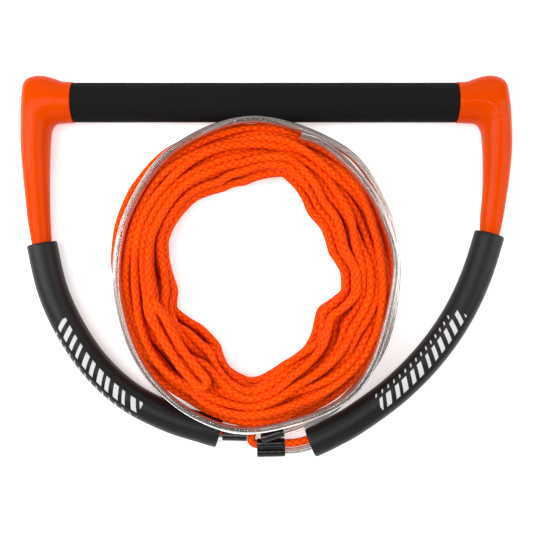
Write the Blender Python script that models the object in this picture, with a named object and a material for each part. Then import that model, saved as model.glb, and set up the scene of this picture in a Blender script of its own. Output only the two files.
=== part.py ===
"""Tow rope handle with its mainline coiled for storage.

The handle lies flat. +X runs along the grip, +Y from the bridle's splice towards the grip, +Z is up,
and z = 0 is the surface that it lies on. All sizes are in metres.
"""

import math

import bmesh
import bpy
import numpy as np
from mathutils import Vector

# Driving dimensions: clearances
GAP = 0.0003
SNUG = 0.0002

# Driving dimensions: bar and grip
BAR_Y = 0.1270
BAR_Z = 0.0160
BAR_R = 0.0110
BAR_WALL = 0.0016
BAR_HALF = 0.1665
GRIP_R = 0.0152
GRIP_EDGE = 0.0008
PLUG_LENGTH = 0.0140
PLUG_RECESS = 0.0010

# Driving dimensions: rope, clear tube and what holds them
ROPE_R = 0.0032
TUBE_R = 0.0030
TUBE_BORE_R = 0.0020
PAIR_SPACING = 0.0066
SLEEVE_WALL = 0.0007
ROPE_BORE_R = 0.0037

# Driving dimensions: end caps
LIP_X = {"left": 0.1496, "right": 0.1472}
CHAMBER_X = 0.1780
CHAMBER_R = 0.0086
SEAT_Y = 0.1150
CHAMBER_TOP_Y = 0.1335
SOCKET_END = 0.1670
WASHER_R = 0.0078
WASHER_THICK = 0.0015
KNOT_R = 0.0074
KNOT_LENGTH = 0.0140
LEG_TIP_R = 0.00775
SPIGOT_R = 0.0075
SPIGOT_LENGTH = 0.0240
BARB_RISE = 0.0003

# Driving dimensions: floats
FLOAT_R = 0.0117
FLOAT_BORE_R = 0.0082
FLOAT_EDGE = 0.0016

# Driving dimensions: mainline coil, boat-end loop and the clear tube round the coil
COIL_X = -0.0086
COIL_Y = -0.0058
COIL_RADIUS_X = 0.0873
COIL_RADIUS_Y = 0.0973
RING_R = 0.0030
RING_SLEEVE_R = 0.0040
RING_SLEEVE_LENGTH = 0.0180

SIDES = {"left": -1.0, "right": 1.0}

# Each rib of a cap is a flat section: its inner end and outer end as distance outward from the
# middle and Y, then the height of its centre and its half height. They run from the lip down the leg.
CAP_RIBS = [
    (0.1496, 0.1111, 0.1496, 0.1429, 0.0160, 0.0159),
    (0.1565, 0.1108, 0.1570, 0.1433, 0.0160, 0.0162),
    (0.1618, 0.1102, 0.1628, 0.1452, 0.0160, 0.0165),
    (0.1645, 0.1084, 0.1705, 0.1474, 0.0160, 0.0168),
    (0.1662, 0.1053, 0.1795, 0.1476, 0.0160, 0.0170),
    (0.1670, 0.1010, 0.1874, 0.1430, 0.0159, 0.0170),
    (0.1674, 0.0955, 0.1896, 0.1300, 0.0157, 0.0166),
    (0.1678, 0.0880, 0.1902, 0.1110, 0.0154, 0.0156),
    (0.1681, 0.0770, 0.1902, 0.0920, 0.0150, 0.0140),
    (0.1684, 0.0640, 0.1887, 0.0700, 0.0144, 0.0120),
    (0.1684, 0.0510, 0.1872, 0.0530, 0.0137, 0.0102),
    (0.1682, 0.0380, 0.1858, 0.0370, 0.0130, 0.0090),
]
CAP_RINGS = 34
CAP_SIDES = 24

# The moulded legs bow inward away from this height, one more than the other.
LEG_BOW = {"left": 0.0, "right": 0.0025}
BOW_Y = 0.0864
BOW_REACH = 0.0566

# Middle of each leg from the knot's seat to the leg tip: outward, Y, Z.
LEG_ROUTE = [
    (0.1780, 0.1150, 0.0160),
    (0.1789, 0.0900, 0.0155),
    (0.1785, 0.0650, 0.0144),
    (0.1774, 0.0420, 0.0132),
]

# Middle of each float and of the sleeve beyond it: X, Y, Z.
FLOAT_ROUTE = {
    "left": [
        (-0.1750, 0.0182, 0.0122),
        (-0.1663, -0.0190, 0.0122),
        (-0.1515, -0.0509, 0.0122),
        (-0.1317, -0.0790, 0.0122),
        (-0.1063, -0.1016, 0.0122),
        (-0.0758, -0.1172, 0.0122),
        (-0.0500, -0.1256, 0.0122),
        (-0.0365, -0.1296, 0.0121),
    ],
    "right": [
        (0.1738, 0.0257, 0.0122),
        (0.1621, -0.0107, 0.0122),
        (0.1460, -0.0430, 0.0122),
        (0.1247, -0.0720, 0.0122),
        (0.0990, -0.0973, 0.0122),
        (0.0696, -0.1188, 0.0122),
        (0.0500, -0.1299, 0.0122),
        (0.0340, -0.1375, 0.0121),
    ],
}
SLEEVE_ROUTE = {
    "left": [(-0.0346, -0.1298, 0.0118), (-0.0250, -0.1302, 0.0116), (-0.0152, -0.1305, 0.0114)],
    "right": [(0.0240, -0.1404, 0.0112), (0.0145, -0.1413, 0.0100), (-0.0074, -0.1419, 0.0096)],
}
SLEEVE_LENGTH = {"left": 0.0192, "right": 0.0218}

# How far the pair of rope and clear tube is turned about its route, rope upward.
PAIR_TURN = {"left": 45.0, "right": 0.0}

# Outline of the coil's cross-section: outward from its mean line, and height.
COIL_SECTION = [
    (0.0080, 0.0003),
    (0.0135, 0.0040),
    (0.0160, 0.0100),
    (0.0190, 0.0165),
    (0.0183, 0.0210),
    (0.0168, 0.0250),
    (0.0145, 0.0285),
    (0.0110, 0.0330),
    (0.0050, 0.0365),
    (-0.0050, 0.0370),
    (-0.0130, 0.0350),
    (-0.0180, 0.0290),
    (-0.0195, 0.0200),
    (-0.0195, 0.0110),
    (-0.0170, 0.0045),
    (-0.0110, 0.0003),
]
COIL_STEPS = 56

# Route of the clear tube round the coil: angle in degrees, outward from the coil's mean line, height.
RING_ROUTE = [
    (70.0, 0.0138, 0.0352),
    (59.0, 0.0157, 0.0350),
    (40.0, 0.0160, 0.0345),
    (22.0, 0.0172, 0.0335),
    (0.0, 0.0192, 0.0320),
    (-34.0, 0.0212, 0.0300),
    (-57.0, 0.0226, 0.0288),
    (-90.0, 0.0214, 0.0280),
    (-112.0, 0.0216, 0.0280),
    (-134.0, 0.0206, 0.0282),
    (-155.0, 0.0188, 0.0295),
    (-180.0, 0.0178, 0.0310),
    (-205.0, 0.0178, 0.0310),
    (-235.0, 0.0192, 0.0295),
    (-270.0, 0.0206, 0.0282),
    (-308.0, 0.0228, 0.0268),
    (-334.0, 0.0222, 0.0255),
    (-356.0, 0.0214, 0.0252),
    (-380.0, 0.0220, 0.0246),
    (-397.0, 0.0232, 0.0236),
    (-417.0, 0.0248, 0.0222),
    (-431.0, 0.0252, 0.0206),
    (-439.0, 0.0264, 0.0188),
]
RING_SLEEVE_END = (-0.0040, -0.1328, 0.0183)

# Middle line of the boat-end loop, which lies doubled on the coil: X, Y, Z.
LOOP_ROUTE = [
    (-0.0870, -0.0250, 0.0405),
    (-0.0790, -0.0430, 0.0408),
    (-0.0690, -0.0610, 0.0408),
    (-0.0580, -0.0760, 0.0408),
    (-0.0490, -0.0865, 0.0408),
]
LOOP_HALF_WIDTH = 0.0042


def clear_scene():
    """Start from an empty scene."""
    for item in list(bpy.data.objects):
        bpy.data.objects.remove(item, do_unlink=True)


def finish_material(name, colour, roughness, metallic=0.0):
    """One plain Principled material."""
    material = bpy.data.materials.new(name)
    material.use_nodes = True
    shader = material.node_tree.nodes["Principled BSDF"]
    shader.inputs["Base Color"].default_value = (*colour, 1.0)
    shader.inputs["Roughness"].default_value = roughness
    shader.inputs["Metallic"].default_value = metallic
    return material


def add_object(name, data, material):
    """Link new data as an object with one material."""
    item = bpy.data.objects.new(name, data)
    bpy.context.scene.collection.objects.link(item)
    if material:
        data.materials.append(material)
    return item


def skin(name, loops, material, ring=False, sharp_degrees=40.0):
    """A closed body through loops of points. A ring joins its last loop to its first."""
    shape = bmesh.new()
    rows = [[shape.verts.new(point) for point in loop] for loop in loops]
    pairs = list(zip(rows, rows[1:]))
    if ring:
        pairs.append((rows[-1], rows[0]))
    for low, high in pairs:
        for k in range(len(low)):
            after = (k + 1) % len(low)
            shape.faces.new((low[k], low[after], high[after], high[k]))
    if not ring:
        shape.faces.new(rows[0])
        shape.faces.new(rows[-1])
    bmesh.ops.recalc_face_normals(shape, faces=shape.faces)
    mesh = bpy.data.meshes.new(name)
    shape.to_mesh(mesh)
    shape.free()
    mesh.shade_smooth()
    mesh.set_sharp_from_angle(angle=math.radians(sharp_degrees))
    return add_object(name, mesh, material)


def smooth_route(points, steps=24):
    """Dense points of a Catmull-Rom curve through the given points."""
    known = np.array(points, dtype=float)
    ends = [2 * known[0] - known[1], 2 * known[-1] - known[-2]]
    known = np.vstack([ends[0], known, ends[1]])
    dense = []
    for a, b, c, d in zip(known, known[1:], known[2:], known[3:]):
        for t in np.arange(steps) / steps:
            dense.append(
                0.5 * (2 * b + (c - a) * t + (2 * a - 5 * b + 4 * c - d) * t**2 + (3 * b - a - 3 * c + d) * t**3)
            )
    dense.append(known[-2])
    return np.array(dense)


def lengths_along(points):
    """Distance from the start to each point."""
    steps = np.linalg.norm(np.diff(points, axis=0), axis=1)
    return np.concatenate([[0.0], np.cumsum(steps)])


def at_lengths(points, wanted):
    """Points of a route at the wanted distances from its start."""
    along = lengths_along(points)
    return np.stack([np.interp(wanted, along, points[:, k]) for k in range(3)], axis=1)


def resample(points, spacing):
    """The same route with evenly spaced points."""
    total = lengths_along(points)[-1]
    return at_lengths(points, np.linspace(0.0, total, max(2, round(total / spacing) + 1)))


def frame_at(points):
    """Unit tangent, level side vector and upward vector at each point of a route."""
    tangent = np.gradient(points, axis=0)
    tangent /= np.linalg.norm(tangent, axis=1)[:, None]
    side = np.cross(tangent, [0.0, 0.0, 1.0])
    side /= np.linalg.norm(side, axis=1)[:, None]
    return tangent, side, np.cross(side, tangent)


def round_loop(centre, side, up, half_width, half_height, count):
    """Points of an ellipse about a centre."""
    angles = np.arange(count) * 2 * math.pi / count
    return [
        Vector(centre + side * half_width * math.cos(a) + up * half_height * math.sin(a)) for a in angles
    ]


def loops_along(points, radii, count):
    """Round loops square to a route, one radius each."""
    _, side, up = frame_at(points)
    return [round_loop(p, s, u, r, r, count) for p, s, u, r in zip(points, side, up, radii)]


def turned_x(x_and_radius, count):
    """Round loops about the bar's axis."""
    centres = [np.array([x, BAR_Y, BAR_Z]) for x, _ in x_and_radius]
    side = np.array([0.0, 1.0, 0.0])
    up = np.array([0.0, 0.0, 1.0])
    return [round_loop(c, side, up, r, r, count) for c, (_, r) in zip(centres, x_and_radius)]


def turned_y(x, z, y_and_radius, count):
    """Round loops about an axis along Y."""
    side = np.array([1.0, 0.0, 0.0])
    up = np.array([0.0, 0.0, 1.0])
    return [round_loop(np.array([x, y, z]), side, up, r, r, count) for y, r in y_and_radius]


def rope_curve(name, points, radius, material, resolution=2):
    """A solid cord: a poly curve with a round bevel and filled caps."""
    curve = bpy.data.curves.new(name, "CURVE")
    curve.dimensions = "3D"
    spline = curve.splines.new("POLY")
    spline.points.add(len(points) - 1)
    for target, point in zip(spline.points, points):
        target.co = (*point, 1.0)
    spline.use_smooth = True
    curve.bevel_depth = radius
    curve.bevel_resolution = resolution
    curve.use_fill_caps = True
    return add_object(name, curve, material)


def cut(target, name, loops):
    """Cut a solid through the loops out of the target."""
    cutter = skin(name, loops, None)
    cutter.hide_render = True
    cutter.display_type = "WIRE"
    change = target.modifiers.new(name, "BOOLEAN")
    change.operation = "DIFFERENCE"
    change.object = cutter


def join_solid(target, other):
    """Unite another solid with the target."""
    other.hide_render = True
    other.display_type = "WIRE"
    change = target.modifiers.new(other.name, "BOOLEAN")
    change.operation = "UNION"
    change.object = other


def bow(side_name, y):
    """How far a leg is bowed inward at a height along it."""
    return LEG_BOW[side_name] * ((y - BOW_Y) / BOW_REACH) ** 2


def bridle_route(side_name):
    """The whole middle line of one side, from the knot's seat to the sleeve's far end."""
    sign = SIDES[side_name]
    leg = [(sign * (u - bow(side_name, y)), y, z) for u, y, z in LEG_ROUTE]
    return smooth_route(leg + FLOAT_ROUTE[side_name] + SLEEVE_ROUTE[side_name])


def length_to(route, point):
    """Distance along a route to its point nearest the given one."""
    nearest = np.argmin(np.linalg.norm(route - np.array(point), axis=1))
    return lengths_along(route)[nearest]


def pair_offset(side_name, route, wanted, share):
    """Points beside the route, towards the rope's place for a share of 1 and the clear tube's for -1."""
    points = at_lengths(route, wanted)
    _, side, up = frame_at(points)
    inward = -side if side_name == "left" else side
    turn = math.radians(PAIR_TURN[side_name])
    towards_rope = inward * math.cos(turn) + up * math.sin(turn)
    reach = np.asarray(share)[:, None] * PAIR_SPACING / 2
    return points + towards_rope * reach


def make_bar(materials):
    """The aluminium tube and the foam grip over it."""
    inner = BAR_R - BAR_WALL
    profile = [(-BAR_HALF, BAR_R), (BAR_HALF, BAR_R), (BAR_HALF, inner), (-BAR_HALF, inner)]
    skin("bar_tube", turned_x(profile, 36), materials["aluminium"], ring=True)
    left = -LIP_X["left"] + GAP
    right = LIP_X["right"] - GAP
    bore = BAR_R + SNUG
    profile = [
        (left, GRIP_R - GRIP_EDGE),
        (left + GRIP_EDGE, GRIP_R),
        (right - GRIP_EDGE, GRIP_R),
        (right, GRIP_R - GRIP_EDGE),
        (right, bore),
        (left, bore),
    ]
    skin("grip_foam", turned_x(profile, 40), materials["grip"], ring=True)


def make_bar_plug(side_name, materials):
    """A closed-foam plug in the bar's end."""
    sign = SIDES[side_name]
    outer = sign * (BAR_HALF - PLUG_RECESS)
    inner = sign * (BAR_HALF - PLUG_RECESS - PLUG_LENGTH)
    radius = BAR_R - BAR_WALL - SNUG
    edge = GRIP_EDGE
    profile = [
        (outer, radius - edge),
        (outer - sign * edge, radius),
        (inner + sign * edge, radius),
        (inner, radius - edge),
    ]
    skin("bar_plug_" + side_name, turned_x(profile, 24), materials["plug"])


def chamber_x(side_name):
    """Where the knot chamber's axis crosses X."""
    return SIDES[side_name] * (CHAMBER_X - bow(side_name, SEAT_Y))


def outward_at(side_name, route, wanted):
    """Points of a route, with the vectors away from the handle's middle and upward."""
    points = at_lengths(route, wanted)
    _, side, up = frame_at(points)
    return points, side * -SIDES[side_name], up


def cap_loops(side_name, route, mouth):
    """Loops of a cap from its lip to its leg tip at the float's mouth."""
    sign = SIDES[side_name]
    ribs = []
    for inner_u, inner_y, outer_u, outer_y, z, half_height in CAP_RIBS:
        inner_u -= bow(side_name, inner_y)
        outer_u -= bow(side_name, outer_y)
        ribs.append((inner_u, inner_y, outer_u, outer_y, z, half_height))
    ribs[0] = (LIP_X[side_name], ribs[0][1], LIP_X[side_name], *ribs[0][3:])
    points, outward, _ = outward_at(side_name, route, [mouth - 0.001, mouth])
    inner = points[-1] - outward[-1] * LEG_TIP_R
    outer = points[-1] + outward[-1] * LEG_TIP_R
    ribs.append((sign * inner[0], inner[1], sign * outer[0], outer[1], points[-1][2], LEG_TIP_R))
    columns = np.hstack([smooth_route([rib[k:k + 3] for rib in ribs]) for k in (0, 3)])
    keep = np.linspace(0, len(columns) - 1, CAP_RINGS).round().astype(int)
    loops = []
    for inner_u, inner_y, outer_u, outer_y, z, half_height in columns[keep]:
        inner = np.array([sign * inner_u, inner_y, z])
        outer = np.array([sign * outer_u, outer_y, z])
        half = (outer - inner) / 2
        loop = round_loop((inner + outer) / 2, half, np.array([0.0, 0.0, half_height]), 1.0, 1.0, CAP_SIDES)
        loops.append([Vector((p.x, p.y, max(p.z, 0.0))) for p in loop])
    return loops


def spigot_loops(side_name, route, start):
    """Loops of the barbed spigot that the float is pushed over."""
    share = np.array([0.03, 0.25, 0.30, 0.34, 0.60, 0.65, 0.69, 0.92, 1.0])
    rise = np.array([0.0, 0.0, 1.0, 0.0, 0.0, 1.0, 0.0, 0.0, -4.0])
    radii = SPIGOT_R + rise * BARB_RISE
    placed = outward_at(side_name, route, start + share * SPIGOT_LENGTH)
    return [round_loop(p, out, up, r, r, CAP_SIDES) for p, out, up, r in zip(*placed, radii)]


def make_end_cap(side_name, materials, route, mouth):
    """The moulded elbow: socket for the bar, knot chamber, leg with a rope bore, and spigot."""
    sign = SIDES[side_name]
    loops = cap_loops(side_name, route, mouth) + spigot_loops(side_name, route, mouth)
    cap = skin("end_cap_" + side_name, loops, materials["cap"])
    lip = sign * (LIP_X[side_name] - 0.002)
    socket = [(lip, BAR_R + GAP), (sign * SOCKET_END, BAR_R + GAP)]
    cut(cap, "cut_socket_" + side_name, turned_x(socket, 36))
    passage = [(sign * (SOCKET_END - 0.004), CHAMBER_R), (chamber_x(side_name), CHAMBER_R)]
    cut(cap, "cut_passage_" + side_name, turned_x(passage, 28))
    chamber = [(SEAT_Y, CHAMBER_R), (CHAMBER_TOP_Y, CHAMBER_R)]
    cut(cap, "cut_chamber_" + side_name, turned_y(chamber_x(side_name), BAR_Z, chamber, 28))
    upward = at_lengths(route, [0.0])[0] + np.array([0.0, 0.003, 0.0])
    total = mouth + SPIGOT_LENGTH + 0.003
    bore = np.vstack([upward, at_lengths(route, np.linspace(0.001, total, 22))])
    cut(cap, "cut_rope_bore_" + side_name, loops_along(bore, [ROPE_BORE_R] * len(bore), 16))


def make_stopper(side_name, materials):
    """The rope's end knot and the washer that it pulls against."""
    x = chamber_x(side_name)
    low = SEAT_Y + GAP
    high = low + WASHER_THICK
    profile = [(low, WASHER_R), (high, WASHER_R), (high, ROPE_BORE_R), (low, ROPE_BORE_R)]
    skin("rope_washer_" + side_name, turned_y(x, BAR_Z, profile, 28), materials["washer"], ring=True)
    start = high + 2 * GAP
    loops = []
    rows = 12
    for row in range(rows + 1):
        polar = math.pi * (0.1 + 0.8 * row / rows)
        centre = np.array([x, start + KNOT_LENGTH * row / rows, BAR_Z])
        loop = []
        for k in range(24):
            angle = 2 * math.pi * k / 24
            lobes = 0.5 + 0.5 * math.cos(3 * angle + 5 * polar)
            radius = (KNOT_R - 0.0008 * (1 - lobes)) * math.sin(polar) ** 0.5
            loop.append(Vector(centre + radius * np.array([math.cos(angle), 0.0, math.sin(angle)])))
        loops.append(loop)
    skin("stopper_knot_" + side_name, loops, materials["rope"], sharp_degrees=70.0)


def make_float(side_name, materials, route, start, end):
    """The foam float: a bent tube with soft edges."""
    edge = FLOAT_EDGE
    steps = [0.0, 0.3 * edge, edge] + list(np.linspace(0.012, end - start - 0.012, 15))
    steps += [end - start - edge, end - start - 0.3 * edge, end - start]
    radii = [FLOAT_R - edge, FLOAT_R - 0.3 * edge] + [FLOAT_R] * 17 + [FLOAT_R - 0.3 * edge, FLOAT_R - edge]
    outside = loops_along(at_lengths(route, start + np.array(steps)), radii, 22)
    inner_points = at_lengths(route, start + np.array([steps[0]] + steps[3:-3] + [steps[-1]]))
    inside = loops_along(inner_points, [FLOAT_BORE_R] * len(inner_points), 22)
    skin("float_" + side_name, outside + inside[::-1], materials["float"], ring=True)


def make_bridle(side_name, materials, route, mouth, sleeve_start):
    """The bridle rope from the knot to the middle of its sleeve, and the clear tube beside it."""
    spigot_end = mouth + SPIGOT_LENGTH
    sleeve_length = SLEEVE_LENGTH[side_name]
    rope_end = sleeve_start + sleeve_length / 2 - GAP / 2
    wanted = np.linspace(0.0, rope_end, 58)
    share = np.clip((wanted - spigot_end - 0.002) / 0.030, 0.0, 1.0)
    share = share * share * (3 - 2 * share)
    points = pair_offset(side_name, route, wanted, share)
    top = points[0] + np.array([0.0, WASHER_THICK + 2 * GAP, 0.0])
    rope_curve("bridle_rope_" + side_name, np.vstack([top, points]), ROPE_R, materials["rope"])
    wanted = np.linspace(spigot_end + 0.034, sleeve_start + sleeve_length - 0.003, 30)
    middle = pair_offset(side_name, route, wanted, [-1.0] * len(wanted))
    outside = loops_along(middle, [TUBE_R] * len(middle), 12)
    inside = loops_along(middle, [TUBE_BORE_R] * len(middle), 12)
    skin("stiffener_tube_" + side_name, outside + inside[::-1], materials["clear"], ring=True)


def sleeve_outline(centre, towards_rope, across, scale):
    """A figure-eight outline round the rope and the clear tube."""
    half = PAIR_SPACING / 2
    rope_lobe = ROPE_R + GAP + SLEEVE_WALL
    tube_lobe = TUBE_R + GAP + SLEEVE_WALL
    waist = (rope_lobe**2 - tube_lobe**2) / (2 * PAIR_SPACING)
    rope_angle = math.acos((waist - half) / rope_lobe)
    tube_angle = math.acos((waist + half) / tube_lobe)
    outline = []
    for k in range(11):
        angle = rope_angle * (1 - k / 5)
        outline.append((half + rope_lobe * math.cos(angle), rope_lobe * math.sin(angle)))
    for k in range(1, 10):
        angle = -tube_angle - (2 * math.pi - 2 * tube_angle) * k / 10
        outline.append((-half + tube_lobe * math.cos(angle), tube_lobe * math.sin(angle)))
    return [Vector(centre + scale * (u * towards_rope + v * across)) for u, v in outline]


def make_sleeve(side_name, materials, route, start):
    """The heat-shrunk sleeve: open for the rope, closed at the clear tube's end."""
    length = SLEEVE_LENGTH[side_name]
    ends = at_lengths(route, [start, start + length])
    axis = (ends[1] - ends[0]) / np.linalg.norm(ends[1] - ends[0])
    side = np.cross(axis, [0.0, 0.0, 1.0])
    side /= np.linalg.norm(side)
    up = np.cross(side, axis)
    inward = -side if side_name == "left" else side
    turn = math.radians(PAIR_TURN[side_name])
    towards_rope = inward * math.cos(turn) + up * math.sin(turn)
    across = np.cross(axis, towards_rope)
    steps = [(0.0, 0.97), (0.0006, 1.0), (length - 0.0012, 1.0), (length - 0.0004, 0.96), (length, 0.90)]
    loops = [sleeve_outline(ends[0] + axis * s, towards_rope, across, scale) for s, scale in steps]
    sleeve = skin("bridle_sleeve_" + side_name, loops, materials["sleeve"])
    reach = PAIR_SPACING / 2
    for label, offset, radius, low, high in (
        ("rope", reach, ROPE_R + SNUG + SNUG / 2, -0.002, length + 0.002),
        ("tube", -reach, TUBE_R + SNUG + SNUG / 2, -0.002, length - 0.0018),
    ):
        middle = ends[0] + towards_rope * offset
        loops = [
            round_loop(middle + axis * s, towards_rope, across, radius, radius, 20) for s in (low, high)
        ]
        cut(sleeve, "cut_" + label + "_hole_" + side_name, loops)


def make_splice(materials, rope_ends):
    """Where both bridle ropes join and the mainline starts: two limbs in one tapered throat."""
    limbs = {
        "right": [(-0.0116, -0.1366, 0.0098), (-0.0116, -0.1320, 0.0103), (-0.0100, -0.1270, 0.0108)],
        "left": [(-0.0117, -0.1272, 0.0125), (-0.0098, -0.1254, 0.0112)],
    }
    throat = [(-0.1304, 0.0030), (-0.1290, 0.0042), (-0.1266, 0.0046), (-0.1242, 0.0044), (-0.1218, 0.0032)]
    joint = skin("splice_loop", turned_y(-0.0098, 0.0108, throat, 16), materials["rope"])
    for side_name, points in limbs.items():
        inside, outside = rope_ends[side_name]
        straight = outside + (outside - inside) * 0.12
        bend = resample(smooth_route([outside, straight] + points), 0.0016)
        route = np.vstack([inside, (inside + outside) / 2, bend])
        limb = skin("limb_" + side_name, loops_along(route, [ROPE_R] * len(route), 12), None)
        join_solid(joint, limb)


def make_coil(materials):
    """The outer shape of the coiled mainline: an oval ring with a rounded section."""
    loops = []
    for k in range(COIL_STEPS):
        angle = 2 * math.pi * k / COIL_STEPS
        loop = []
        for outward, z in COIL_SECTION:
            x = COIL_X + (COIL_RADIUS_X + outward) * math.cos(angle)
            y = COIL_Y + (COIL_RADIUS_Y + outward) * math.sin(angle)
            loop.append(Vector((x, y, z)))
        loops.append(loop)
    skin("mainline_coil", loops, materials["rope"], ring=True, sharp_degrees=60.0)


def make_boat_loop(materials):
    """The doubled end of the mainline, with its fold outermost."""
    middle = resample(smooth_route(LOOP_ROUTE), 0.0060)
    tangent, side, _ = frame_at(middle)
    one = middle + side * LOOP_HALF_WIDTH
    other = middle - side * LOOP_HALF_WIDTH
    fold = []
    for angle in np.linspace(0.0, math.pi, 9)[1:-1]:
        fold.append(middle[-1] + LOOP_HALF_WIDTH * (side[-1] * math.cos(angle) + tangent[-1] * math.sin(angle)))
    rope_curve("boat_end_loop", np.vstack([one, fold, other[::-1]]), ROPE_R, materials["rope"])


def ring_points():
    """Points of the clear tube's route round the coil."""
    route = []
    for degrees, outward, z in RING_ROUTE:
        angle = math.radians(degrees)
        x = COIL_X + (COIL_RADIUS_X + outward) * math.cos(angle)
        y = COIL_Y + (COIL_RADIUS_Y + outward) * math.sin(angle)
        route.append((x, y, z))
    return route


def make_ring_tube(materials):
    """The clear tube that holds the coil, and the sleeve that closes its end."""
    route = smooth_route(ring_points() + [RING_SLEEVE_END])
    total = lengths_along(route)[-1]
    tube = at_lengths(route, np.linspace(0.0, total - RING_SLEEVE_LENGTH - GAP, 72))
    rope_curve("coil_ring_tube", tube, RING_R, materials["clear"])
    ends = at_lengths(route, np.linspace(total - RING_SLEEVE_LENGTH, total, 7))
    radii = [RING_SLEEVE_R] * 6 + [RING_SLEEVE_R * 0.8]
    skin("ring_sleeve", loops_along(ends, radii, 16), materials["sleeve"])


def make_materials():
    """The plain finishes."""
    return {
        "aluminium": finish_material("aluminium", (0.62, 0.63, 0.65), 0.35, 1.0),
        "grip": finish_material("grip foam", (0.014, 0.014, 0.015), 0.75),
        "plug": finish_material("plug foam", (0.05, 0.05, 0.05), 0.80),
        "cap": finish_material("moulded cap", (0.95, 0.09, 0.0), 0.18),
        "washer": finish_material("steel washer", (0.55, 0.55, 0.56), 0.30, 1.0),
        "float": finish_material("float foam", (0.022, 0.022, 0.024), 0.70),
        "rope": finish_material("braided rope", (0.95, 0.10, 0.0), 0.60),
        "clear": finish_material("clear vinyl", (0.75, 0.73, 0.70), 0.15),
        "sleeve": finish_material("shrink sleeve", (0.01, 0.01, 0.011), 0.25),
    }


def make_side(side_name, materials):
    """Everything on one side of the handle. Returns where its bridle rope ends and leaves the sleeve."""
    route = bridle_route(side_name)
    mouth = length_to(route, FLOAT_ROUTE[side_name][0])
    float_end = length_to(route, FLOAT_ROUTE[side_name][-1])
    sleeve_start = lengths_along(route)[-1] - SLEEVE_LENGTH[side_name]
    make_bar_plug(side_name, materials)
    make_end_cap(side_name, materials, route, mouth)
    make_stopper(side_name, materials)
    make_float(side_name, materials, route, mouth, float_end)
    make_bridle(side_name, materials, route, mouth, sleeve_start)
    make_sleeve(side_name, materials, route, sleeve_start)
    sleeve_end = sleeve_start + SLEEVE_LENGTH[side_name]
    meets = sleeve_start + SLEEVE_LENGTH[side_name] / 2 + GAP / 2
    return pair_offset(side_name, route, [meets, sleeve_end], [1.0, 1.0])


def main():
    """Build the whole handle."""
    clear_scene()
    materials = make_materials()
    make_bar(materials)
    rope_ends = {side_name: make_side(side_name, materials) for side_name in SIDES}
    make_splice(materials, rope_ends)
    make_coil(materials)
    make_boat_loop(materials)
    make_ring_tube(materials)


main()
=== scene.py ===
"""Looks of the tow rope handle, in metres, in the part's own frame."""

import math

import bmesh
import bpy
import numpy as np
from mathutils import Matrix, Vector


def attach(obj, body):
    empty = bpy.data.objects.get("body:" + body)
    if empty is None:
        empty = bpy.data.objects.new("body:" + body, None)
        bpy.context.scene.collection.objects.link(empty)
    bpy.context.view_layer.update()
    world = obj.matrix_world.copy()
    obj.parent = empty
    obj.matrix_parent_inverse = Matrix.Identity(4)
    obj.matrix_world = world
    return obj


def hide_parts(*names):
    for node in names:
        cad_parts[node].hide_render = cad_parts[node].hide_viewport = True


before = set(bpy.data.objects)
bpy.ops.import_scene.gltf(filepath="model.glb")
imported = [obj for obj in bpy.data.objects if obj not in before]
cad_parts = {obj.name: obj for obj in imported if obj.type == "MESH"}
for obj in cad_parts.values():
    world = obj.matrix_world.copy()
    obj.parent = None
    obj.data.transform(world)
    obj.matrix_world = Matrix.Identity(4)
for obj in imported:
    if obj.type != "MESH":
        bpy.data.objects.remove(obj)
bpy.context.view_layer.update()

# Camera and stage
CAMERA_HEIGHT = 0.700
CAMERA_LENS = 59.62
FLOOR_GLOW = (1.0, 1.0, 1.0, 1.0)
FLOOR_GLOW_STRENGTH = 0.38
FLOOR_SIZE = 30.0

# Sizes shared with the CAD
BAR_Y = 0.1270
BAR_Z = 0.0160
GRIP_R = 0.0152
BAR_R = 0.0110
ROPE_R = 0.0032
TUBE_R = 0.0030
TUBE_BORE_R = 0.0020
PAIR_SPACING = 0.0066
LEG_TIP_R = 0.00775
SPIGOT_R = 0.0075
SPIGOT_LENGTH = 0.0240
FLOAT_R = 0.0117
FLOAT_BORE_R = 0.0082
FLOAT_EDGE = 0.0016
RING_SLEEVE_LENGTH = 0.0180
RING_SLEEVE_R = 0.0040
GAP = 0.0003
LIP_X = {"left": 0.1496, "right": 0.1472}
SIDES = {"left": -1.0, "right": 1.0}
LEG_BOW = {"left": 0.0, "right": 0.0025}
BOW_Y = 0.0864
BOW_REACH = 0.0566
SLEEVE_LENGTH = {"left": 0.0192, "right": 0.0218}
PAIR_TURN = {"left": 45.0, "right": 0.0}

# A rib of a cap: inner end and outer end as distance outward and Y, height of its centre, half height.
CAP_RIBS = [
    (0.1496, 0.1111, 0.1496, 0.1429, 0.0160, 0.0159),
    (0.1565, 0.1108, 0.1570, 0.1433, 0.0160, 0.0162),
    (0.1618, 0.1102, 0.1628, 0.1452, 0.0160, 0.0165),
    (0.1645, 0.1084, 0.1705, 0.1474, 0.0160, 0.0168),
    (0.1662, 0.1053, 0.1795, 0.1476, 0.0160, 0.0170),
    (0.1670, 0.1010, 0.1874, 0.1430, 0.0159, 0.0170),
    (0.1674, 0.0955, 0.1896, 0.1300, 0.0157, 0.0166),
    (0.1678, 0.0880, 0.1902, 0.1110, 0.0154, 0.0156),
    (0.1681, 0.0770, 0.1902, 0.0920, 0.0150, 0.0140),
    (0.1684, 0.0640, 0.1887, 0.0700, 0.0144, 0.0120),
    (0.1684, 0.0510, 0.1872, 0.0530, 0.0137, 0.0102),
    (0.1682, 0.0380, 0.1858, 0.0370, 0.0130, 0.0090),
]

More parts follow.
